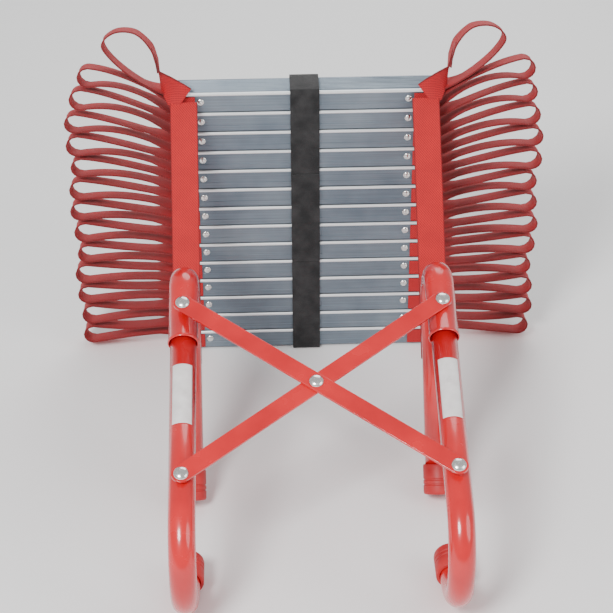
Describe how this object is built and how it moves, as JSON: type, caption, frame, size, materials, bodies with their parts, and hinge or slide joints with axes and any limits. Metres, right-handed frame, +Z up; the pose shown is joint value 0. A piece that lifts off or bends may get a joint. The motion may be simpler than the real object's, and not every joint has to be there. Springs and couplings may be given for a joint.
{
  "type": "escape rope ladder",
  "caption": "Escape ladder stowed as a stack of aluminium rungs on looped red webbing, with two red tubular sill hooks joined by a crossed brace.",
  "frame": {"origin": "on the ground, under the middle of the object's box", "axes": "+Z up, +X across the ladder along the rungs, +Y from the hooks towards the stack of rungs"},
  "size_m": [0.563, 0.575, 0.437],
  "materials": {
    "anodised_aluminium": "satin anodised extrusion",
    "red_webbing": "woven polyester webbing",
    "red_gloss_paint": "gloss powder coat on steel",
    "red_rubber": "moulded end caps",
    "bright_steel": "bright zinc plate",
    "black_band": "hook-and-loop band"
  },
  "bodies": {
    "stack_and_left_hook": {"rung_01": "anodised_aluminium", "rung_02": "anodised_aluminium", "rung_03": "anodised_aluminium", "rung_04": "anodised_aluminium", "rung_05": "anodised_aluminium", "rung_06": "anodised_aluminium", "rung_07": "anodised_aluminium", "rung_08": "anodised_aluminium", "rung_09": "anodised_aluminium", "rung_10": "anodised_aluminium", "rung_11": "anodised_aluminium", "rung_12": "anodised_aluminium", "rung_13": "anodised_aluminium", "rung_14": "anodised_aluminium", "side_webbing_left": "red_webbing", "side_webbing_right": "red_webbing", "hook_and_loop_band": "black_band", "hook_strap_left": "red_webbing", "hook_sleeve_left": "red_gloss_paint", "strut_foot_left": "red_rubber", "strap_rivet_left": "bright_steel", "brace_rivet_upper_left": "bright_steel"},
    "brace_arm_b": {"brace_arm_b": "red_gloss_paint", "brace_rivet_middle": "bright_steel"},
    "brace_arm_a": {"brace_arm_a": "red_gloss_paint"},
    "left_inner_tube": {"hook_inner_tube_left": "red_gloss_paint", "hook_end_cap_left": "red_rubber", "brace_rivet_lower_left": "bright_steel"},
    "right_hook": {"hook_sleeve_right": "red_gloss_paint", "strut_foot_right": "red_rubber", "strap_rivet_right": "bright_steel", "strap_end_right": "red_webbing", "brace_rivet_upper_right": "bright_steel"},
    "right_inner_tube": {"hook_inner_tube_right": "red_gloss_paint", "hook_end_cap_right": "red_rubber", "brace_rivet_lower_right": "bright_steel"},
    "right_hook_strap": {"hook_strap_right": "red_webbing"}
  },
  "joints": [
    {"name": "brace_fold", "type": "hinge", "parent": "stack_and_left_hook", "child": "brace_arm_b", "pos_m": [-0.14, -0.00306, 0.21852], "axis": [0, 0.342, -0.9397], "range_deg": [-4, 6]},
    {"name": "brace_scissor", "type": "hinge", "parent": "brace_arm_b", "child": "brace_arm_a", "pos_m": [0, -0.10266, 0.18226], "axis": [0, 0.342, -0.9397], "range_deg": [-12.5, 8.5]},
    {"name": "left_inner_tube_pivot", "type": "hinge", "parent": "brace_arm_a", "child": "left_inner_tube", "pos_m": [-0.14, -0.20227, 0.14601], "axis": [0, 0.342, -0.9397], "range_deg": [-4.5, 6.5]},
    {"name": "right_hook_pivot", "type": "hinge", "parent": "brace_arm_a", "child": "right_hook", "pos_m": [0.14, -0.00306, 0.21852], "axis": [0, 0.342, -0.9397], "range_deg": [-4.5, 6.5]},
    {"name": "right_inner_tube_pivot", "type": "hinge", "parent": "brace_arm_b", "child": "right_inner_tube", "pos_m": [0.14, -0.20227, 0.14601], "axis": [0, 0.342, -0.9397], "range_deg": [-6.5, 4.5]},
    {"name": "right_strap_swing", "type": "hinge", "parent": "stack_and_left_hook", "child": "right_hook_strap", "pos_m": [0.14, 0.2398, 0.3512], "axis": [0, 0.7445, -0.6676], "range_deg": [-3.82, 5.48]}
  ],
  "couplings": [
    {"joint": "brace_scissor", "follows": "brace_fold", "ratio": -2},
    {"joint": "left_inner_tube_pivot", "follows": "brace_fold", "ratio": 1},
    {"joint": "right_hook_pivot", "follows": "brace_fold", "ratio": 1},
    {"joint": "right_inner_tube_pivot", "follows": "brace_fold", "ratio": -1},
    {"joint": "right_strap_swing", "follows": "brace_fold", "ratio": 0.8304}
  ]
}
